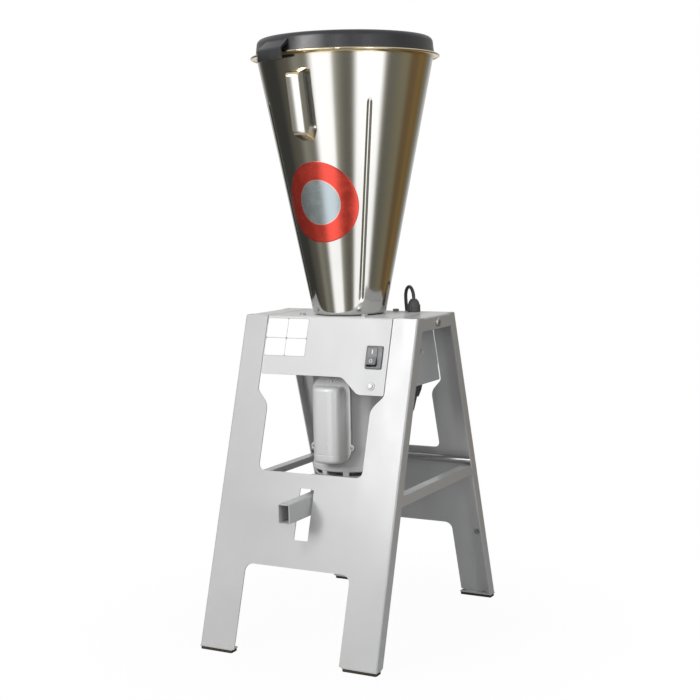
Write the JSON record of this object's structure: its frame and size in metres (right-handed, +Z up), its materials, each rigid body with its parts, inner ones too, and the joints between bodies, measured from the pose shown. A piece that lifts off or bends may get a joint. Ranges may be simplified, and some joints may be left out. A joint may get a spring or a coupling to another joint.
{
  "type": "tilting floor blender",
  "caption": "Floor-standing blender on an A-shaped sheet-steel stand, with a conical steel bowl, a lid and a motor head that tips forward to pour, and a foot lever in front.",
  "frame": {"origin": "centre of the footprint, on the floor under the four feet", "axes": "+Z up, -Y towards the front with the lever and the switch, +X to the right seen from the front"},
  "size_m": [0.401, 0.576, 1.192],
  "materials": {
    "frame_paint": "satin",
    "motor_paint": "satin",
    "stainless": "brushed",
    "lid_plastic": "satin",
    "foot_rubber": "matte",
    "seal_rubber": "matte",
    "bolt_steel": "satin",
    "bush_brass": "satin",
    "lamination": "satin",
    "winding_copper": "satin",
    "inner_plastic": "matte",
    "switch_black": "satin",
    "rocker_grey": "gloss",
    "button_white": "gloss",
    "gland_black": "satin",
    "cord_rubber": "satin",
    "spring_steel": "satin"
  },
  "bodies": {
    "stand": {"front_panel": "frame_paint", "rear_panel": "frame_paint", "left_bridge": "frame_paint", "right_bridge": "frame_paint", "left_rail": "frame_paint", "right_rail": "frame_paint", "foot_plates": "frame_paint", "rubber_feet": "foot_rubber", "foot_screws": "bolt_steel", "leg_bolt": "bolt_steel", "pivot_bolts": "bolt_steel", "pivot_spacers": "bolt_steel", "pivot_nuts": "bolt_steel", "lever_axle": "frame_paint", "axle_collars": "bolt_steel", "spring_tab": "frame_paint", "lever_spring": "spring_steel"},
    "lever": {"lever_tube": "frame_paint", "lever_hub": "frame_paint", "catch_plates": "frame_paint"},
    "head": {"head_housing": "frame_paint", "left_side_plate": "frame_paint", "right_side_plate": "frame_paint", "stop_studs": "bolt_steel", "pivot_bushes": "bush_brass", "bowl_gasket": "seal_rubber", "bowl": "stainless", "bowl_handle": "stainless", "bowl_hub": "stainless", "shaft_seal": "seal_rubber", "motor_bottom_shield": "motor_paint", "motor_shell": "motor_paint", "motor_top_shield": "motor_paint", "motor_bearings": "bolt_steel", "stator_core": "lamination", "stator_windings": "winding_copper", "deck_bolts": "bolt_steel", "cover_base": "motor_paint", "capacitor_cover": "motor_paint", "capacitor": "inner_plastic", "cover_screws": "bolt_steel", "keeper": "motor_paint", "switch_bezel": "switch_black", "reset_collar": "switch_black", "cable_gland": "gland_black", "gland_nut": "gland_black", "power_cord": "cord_rubber", "plug_lead": "cord_rubber", "cord_hank": "cord_rubber", "cord_strap": "inner_plastic", "plug": "gland_black", "plug_pins": "bush_brass"},
    "rotor": {"motor_shaft": "stainless", "blades": "stainless", "blade_nut": "stainless", "rotor_core": "lamination", "fan": "inner_plastic"},
    "lid": {"lid": "lid_plastic"},
    "rocker": {"rocker": "rocker_grey"},
    "reset_button": {"reset_button": "button_white"}
  },
  "joints": [
    {"name": "head_tilt", "type": "hinge", "parent": "stand", "child": "head", "pos_m": [0, 0, 0.631], "axis": [1, 0, 0], "range_deg": [0, 95]},
    {"name": "lever_press", "type": "hinge", "parent": "stand", "child": "lever", "pos_m": [0, 0.17203, 0.323], "axis": [1, 0, 0], "range_deg": [-1.6, 6.5], "stiffness_Nm_per_rad": 30, "springref_deg": -3.84, "deforming": ["lever_spring"]},
    {"name": "rotor_spin", "type": "hinge", "parent": "head", "child": "rotor", "pos_m": [0, 0, 0.5], "axis": [0, 0, 1], "continuous": true},
    {"name": "lid_lift", "type": "slide", "parent": "head", "child": "lid", "axis": [0, 0, 1], "range_m": [0, 0.2]},
    {"name": "rocker_tip", "type": "hinge", "parent": "head", "child": "rocker", "pos_m": [0.1075, -0.10768, 0.5686], "axis": [1, 0, 0], "range_deg": [0, 16]},
    {"name": "reset_press", "type": "slide", "parent": "head", "child": "reset_button", "axis": [0, 0.9535, -0.3013], "range_m": [0, 0.002], "stiffness_N_per_m": 300, "springref_m": -0.001}
  ]
}
